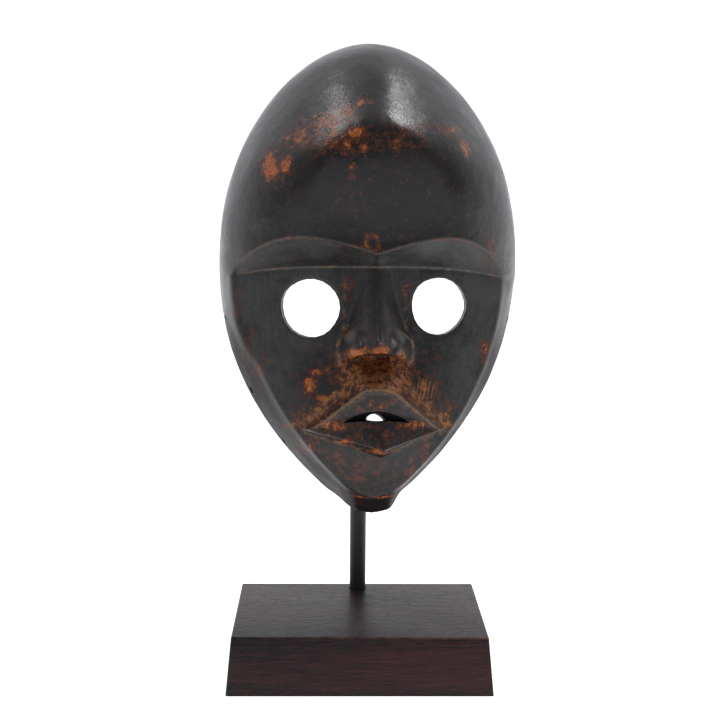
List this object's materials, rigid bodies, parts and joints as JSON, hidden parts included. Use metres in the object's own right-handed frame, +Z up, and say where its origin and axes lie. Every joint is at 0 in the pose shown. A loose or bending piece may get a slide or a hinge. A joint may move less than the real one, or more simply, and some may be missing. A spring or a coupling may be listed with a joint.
{
  "type": "dan mask on a display stand",
  "caption": "Hollow carved wooden face mask with round eye holes, hung on a steel rod that stands in a wooden block.",
  "frame": {"origin": "middle of the base's underside", "axes": "+Z up, the mask's face looks along -Y, +X is to the right of someone facing it"},
  "size_m": [0.1442, 0.0873, 0.2959],
  "materials": {
    "mask_wood": "dark handled patina, semi-gloss, worn to orange-brown on high places",
    "rod_steel": "matte black paint",
    "base_wood": "dark reddish stain, satin"
  },
  "bodies": {
    "root": {"mask": "mask_wood", "rod": "rod_steel", "base": "base_wood"}
  },
  "joints": []
}
